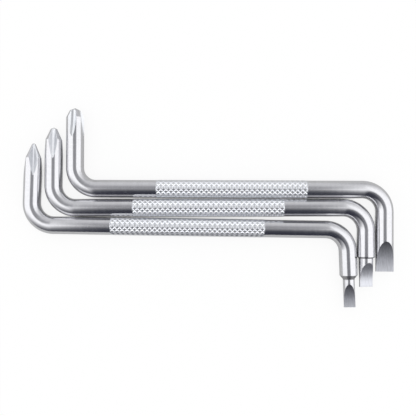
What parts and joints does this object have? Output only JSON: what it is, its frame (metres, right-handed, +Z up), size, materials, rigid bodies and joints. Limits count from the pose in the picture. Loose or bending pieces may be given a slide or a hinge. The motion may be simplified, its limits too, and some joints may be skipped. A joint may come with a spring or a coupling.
{
  "type": "offset screwdriver",
  "caption": "Nested set of Z-shaped offset screwdrivers bent from round bar, each with a knurled grip, a cross point on one leg and a ground flat blade on the other.",
  "frame": {"origin": "centre of the set's footprint, on the surface that the set lies on", "axes": "+X along the bars towards the blade legs, +Y along the cross legs, +Z up off the surface"},
  "size_m": [0.1268, 0.0682, 0.0062],
  "materials": {
    "satin_chrome": "satin chrome plate on steel bar, bright knurl, bare ground faces"
  },
  "bodies": {
    "medium": {"medium_driver": "satin_chrome"},
    "small": {"small_driver": "satin_chrome"},
    "large": {"large_driver": "satin_chrome"}
  },
  "joints": [
    {"name": "small_lift", "type": "slide", "parent": "medium", "child": "small", "axis": [0, 0, 1], "range_m": [0, 0.04]},
    {"name": "large_lift", "type": "slide", "parent": "medium", "child": "large", "axis": [0, 0, 1], "range_m": [0, 0.04]}
  ]
}
